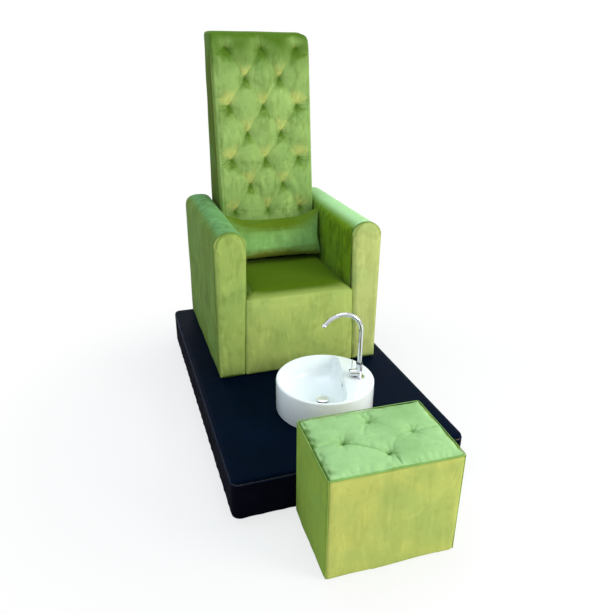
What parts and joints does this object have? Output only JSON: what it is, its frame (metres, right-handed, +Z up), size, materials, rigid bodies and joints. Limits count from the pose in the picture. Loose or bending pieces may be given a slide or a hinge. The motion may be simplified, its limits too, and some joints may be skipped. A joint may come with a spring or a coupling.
{
  "type": "pedicure spa chair",
  "caption": "Tall tufted velvet armchair on a covered platform with a round foot basin, swivel tap and a separate tufted stool, for foot care.",
  "frame": {"origin": "on the floor, under the middle of the whole set in length and width", "axes": "+Z up, front of the chair towards -Y, +X to the right seen from the front"},
  "size_m": [0.942, 1.9198, 1.6369],
  "materials": {
    "velvet": "short-pile velvet",
    "velvet_piping": "velvet covered piping",
    "leatherette": "smooth satin leatherette",
    "leatherette_piping": "leatherette covered piping",
    "plywood": "sanded plywood",
    "timber": "planed softwood",
    "webbing": "woven jute strap",
    "ceramic": "glossy white glaze",
    "chrome": "polished",
    "dark_chrome": "dark polished",
    "brass": "machined",
    "rubber": "matte",
    "glide": "matte"
  },
  "bodies": {
    "throne": {"platform_foot_front_left": "glide", "platform_foot_front_right": "glide", "platform_foot_back_left": "glide", "platform_foot_back_right": "glide", "platform_rail_front": "timber", "platform_rail_back": "timber", "platform_rail_left": "timber", "platform_rail_right": "timber", "platform_joist_front": "timber", "platform_joist_middle": "timber", "platform_joist_rear": "timber", "platform_deck": "plywood", "platform_top_pad": "leatherette", "platform_welt": "leatherette_piping", "platform_skirt": "leatherette", "basin_bowl": "ceramic", "overflow_ring": "chrome", "waste_body": "chrome", "waste_seal": "rubber", "waste_backnut": "brass", "tap_base_ring": "chrome", "tap_body": "chrome", "tap_cartridge": "brass", "tap_collar": "dark_chrome", "tap_shank": "brass", "tap_washer": "rubber", "tap_backnut": "brass", "arm_left_cover": "velvet", "arm_left_frame": "plywood", "arm_left_facing": "velvet", "arm_left_welt": "velvet_piping", "arm_right_cover": "velvet", "arm_right_frame": "plywood", "arm_right_facing": "velvet", "arm_right_welt": "velvet_piping", "seat_pad": "velvet", "seat_rail_front": "timber", "seat_rail_back": "timber", "seat_webbing": "webbing", "back_tufted_pad": "velvet", "back_board": "plywood", "back_side_left": "plywood", "back_side_right": "plywood", "back_rail_top": "timber", "back_side_band": "velvet", "back_rear_panel": "velvet"},
    "waste_plug": {"waste_plug": "chrome"},
    "tap_spout": {"tap_spout": "chrome", "tap_aerator": "chrome"},
    "tap_valve_cap": {"tap_valve_cap": "chrome"},
    "tap_lever": {"tap_lever": "chrome"},
    "lumbar_pillow": {"lumbar_pillow": "velvet"},
    "stool": {"stool_cover": "velvet", "stool_welt": "velvet_piping", "stool_lid_board": "plywood", "stool_board_front": "plywood", "stool_board_back": "plywood", "stool_board_left": "plywood", "stool_board_right": "plywood", "stool_tufted_top": "velvet"}
  },
  "joints": [
    {"name": "spout_swivel", "type": "hinge", "parent": "throne", "child": "tap_spout", "pos_m": [0.14635, -0.27774, 0.3722], "axis": [0, 0, 1], "continuous": true},
    {"name": "valve_turn", "type": "hinge", "parent": "throne", "child": "tap_valve_cap", "pos_m": [0.11619, -0.26938, 0.3292], "axis": [-0.9636, 0.2672, 0], "range_deg": [-45, 45]},
    {"name": "lever_tilt", "type": "hinge", "parent": "tap_valve_cap", "child": "tap_lever", "pos_m": [0.11619, -0.26938, 0.3292], "axis": [-0.2672, -0.9636, 0], "range_deg": [0, 25]},
    {"name": "waste_plug_press", "type": "slide", "parent": "throne", "child": "waste_plug", "axis": [0, 0, 1], "range_m": [-0.008, 0], "stiffness_N_per_m": 400, "springref_m": 0.004},
    {"name": "lumbar_pillow_lift", "type": "slide", "parent": "throne", "child": "lumbar_pillow", "axis": [0, 0, 1], "range_m": [0, 0.35]},
    {"name": "stool_pull", "type": "slide", "parent": "throne", "child": "stool", "axis": [0, -1, 0], "range_m": [0, 0.45]}
  ]
}
